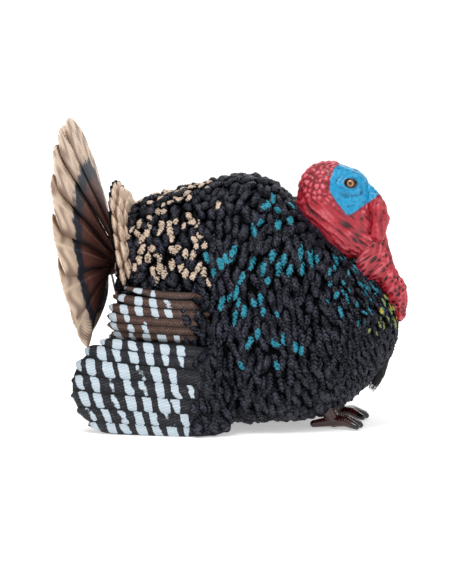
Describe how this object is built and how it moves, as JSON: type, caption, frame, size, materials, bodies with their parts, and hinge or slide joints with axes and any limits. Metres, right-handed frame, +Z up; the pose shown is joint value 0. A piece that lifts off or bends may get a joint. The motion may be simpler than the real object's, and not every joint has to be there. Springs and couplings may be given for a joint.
{
  "type": "turkey decoy",
  "caption": "Full-strut turkey decoy with a lift-off head, a pull-out folding tail fan and a ground-stake socket.",
  "frame": {"origin": "the centre of the stake socket's mouth, on the ground and on the bird's centre plane", "axes": "+X towards the head, +Y to the bird's left, +Z up"},
  "size_m": [0.5762, 0.4866, 0.5068],
  "materials": {
    "plumage_plastic": "moulded feathers, hand painted near-black with dry-brushed highlights",
    "wing_plastic": "moulded feathers, hand painted with pale bars",
    "fan_plastic": "moulded feathers, hand painted brown with a dark band and cream tips",
    "flesh_plastic": "moulded skin, satin painted red and blue",
    "beak_plastic": "satin painted horn",
    "leg_plastic": "gloss painted dark red",
    "eye_acrylic": "polished acrylic bead",
    "beard_plastic": "moulded strands, painted black",
    "inner_plastic": "plain moulded",
    "screw_steel": "zinc plated",
    "ring_rubber": "plain"
  },
  "bodies": {
    "root": {"body_shell_left": "plumage_plastic", "body_shell_right": "plumage_plastic", "belly_plate": "inner_plastic", "belly_screws": "screw_steel", "stake_socket": "inner_plastic", "socket_screws": "screw_steel", "neck_socket": "inner_plastic", "neck_socket_screws": "screw_steel", "tail_socket": "inner_plastic", "tail_socket_screws": "screw_steel", "tail_covert_ring": "fan_plastic", "wing_primaries_left": "wing_plastic", "wing_primaries_right": "wing_plastic", "wing_secondaries_left": "wing_plastic", "wing_secondaries_right": "wing_plastic", "wing_screws": "screw_steel", "foot_left": "leg_plastic", "foot_right": "leg_plastic", "foot_screws": "screw_steel", "beard": "beard_plastic"},
    "head": {"head_shell": "flesh_plastic", "neck_peg": "inner_plastic", "neck_ring": "ring_rubber", "head_screw": "screw_steel", "wattle": "flesh_plastic", "snood": "flesh_plastic", "beak": "beak_plastic", "eye_left": "eye_acrylic", "eye_right": "eye_acrylic"},
    "tail": {"tail_peg": "inner_plastic", "tail_ring": "ring_rubber", "tail_bolt": "screw_steel", "hub_washer": "screw_steel", "hub_rear": "inner_plastic", "undertail_coverts": "fan_plastic", "tail_feather_centre": "fan_plastic"},
    "wing_nut": {"wing_nut": "screw_steel"},
    "feather_right_1": {"tail_feather_right_1": "fan_plastic"},
    "feather_right_2": {"tail_feather_right_2": "fan_plastic"},
    "feather_right_3": {"tail_feather_right_3": "fan_plastic"},
    "feather_right_4": {"tail_feather_right_4": "fan_plastic"},
    "feather_right_5": {"tail_feather_right_5": "fan_plastic"},
    "feather_right_6": {"tail_feather_right_6": "fan_plastic"},
    "feather_left_1": {"tail_feather_left_1": "fan_plastic"},
    "feather_left_2": {"tail_feather_left_2": "fan_plastic"},
    "feather_left_3": {"tail_feather_left_3": "fan_plastic"},
    "feather_left_4": {"tail_feather_left_4": "fan_plastic"},
    "feather_left_5": {"tail_feather_left_5": "fan_plastic"},
    "feather_left_6": {"tail_feather_left_6": "fan_plastic"}
  },
  "joints": [
    {"name": "head_lift", "type": "slide", "parent": "root", "child": "head", "axis": [0.6947, 0, 0.7193], "range_m": [0, 0.055]},
    {"name": "tail_pull", "type": "slide", "parent": "root", "child": "tail", "axis": [-0.9781, 0, -0.2079], "range_m": [0, 0.075]},
    {"name": "wing_nut_turn", "type": "hinge", "parent": "tail", "child": "wing_nut", "pos_m": [-0.15, 0, 0.268], "axis": [-0.9781, 0, -0.2079], "continuous": true},
    {"name": "fold_right_1", "type": "hinge", "parent": "tail", "child": "feather_right_1", "pos_m": [-0.15, 0, 0.268], "axis": [-0.9781, 0, -0.2079], "range_deg": [0, 8.3]},
    {"name": "fold_right_2", "type": "hinge", "parent": "tail", "child": "feather_right_2", "pos_m": [-0.15, 0, 0.268], "axis": [-0.9781, 0, -0.2079], "range_deg": [0, 24.6]},
    {"name": "fold_right_3", "type": "hinge", "parent": "tail", "child": "feather_right_3", "pos_m": [-0.15, 0, 0.268], "axis": [-0.9781, 0, -0.2079], "range_deg": [0, 40.9]},
    {"name": "fold_right_4", "type": "hinge", "parent": "tail", "child": "feather_right_4", "pos_m": [-0.15, 0, 0.268], "axis": [-0.9781, 0, -0.2079], "range_deg": [0, 57.2]},
    {"name": "fold_right_5", "type": "hinge", "parent": "tail", "child": "feather_right_5", "pos_m": [-0.15, 0, 0.268], "axis": [-0.9781, 0, -0.2079], "range_deg": [0, 73.5]},
    {"name": "fold_right_6", "type": "hinge", "parent": "tail", "child": "feather_right_6", "pos_m": [-0.15, 0, 0.268], "axis": [-0.9781, 0, -0.2079], "range_deg": [0, 89.8]},
    {"name": "fold_left_1", "type": "hinge", "parent": "tail", "child": "feather_left_1", "pos_m": [-0.15, 0, 0.268], "axis": [0.9781, 0, 0.2079], "range_deg": [0, 8.3]},
    {"name": "fold_left_2", "type": "hinge", "parent": "tail", "child": "feather_left_2", "pos_m": [-0.15, 0, 0.268], "axis": [0.9781, 0, 0.2079], "range_deg": [0, 24.6]},
    {"name": "fold_left_3", "type": "hinge", "parent": "tail", "child": "feather_left_3", "pos_m": [-0.15, 0, 0.268], "axis": [0.9781, 0, 0.2079], "range_deg": [0, 40.9]},
    {"name": "fold_left_4", "type": "hinge", "parent": "tail", "child": "feather_left_4", "pos_m": [-0.15, 0, 0.268], "axis": [0.9781, 0, 0.2079], "range_deg": [0, 57.2]},
    {"name": "fold_left_5", "type": "hinge", "parent": "tail", "child": "feather_left_5", "pos_m": [-0.15, 0, 0.268], "axis": [0.9781, 0, 0.2079], "range_deg": [0, 73.5]},
    {"name": "fold_left_6", "type": "hinge", "parent": "tail", "child": "feather_left_6", "pos_m": [-0.15, 0, 0.268], "axis": [0.9781, 0, 0.2079], "range_deg": [0, 89.8]}
  ],
  "couplings": [
    {"joint": "fold_right_1", "follows": "fold_right_6", "ratio": 0.092427},
    {"joint": "fold_right_2", "follows": "fold_right_6", "ratio": 0.27394},
    {"joint": "fold_right_3", "follows": "fold_right_6", "ratio": 0.45546},
    {"joint": "fold_right_4", "follows": "fold_right_6", "ratio": 0.63697},
    {"joint": "fold_right_5", "follows": "fold_right_6", "ratio": 0.81849},
    {"joint": "fold_left_1", "follows": "fold_right_6", "ratio": 0.092427},
    {"joint": "fold_left_2", "follows": "fold_right_6", "ratio": 0.27394},
    {"joint": "fold_left_3", "follows": "fold_right_6", "ratio": 0.45546},
    {"joint": "fold_left_4", "follows": "fold_right_6", "ratio": 0.63697},
    {"joint": "fold_left_5", "follows": "fold_right_6", "ratio": 0.81849},
    {"joint": "fold_left_6", "follows": "fold_right_6", "ratio": 1}
  ]
}
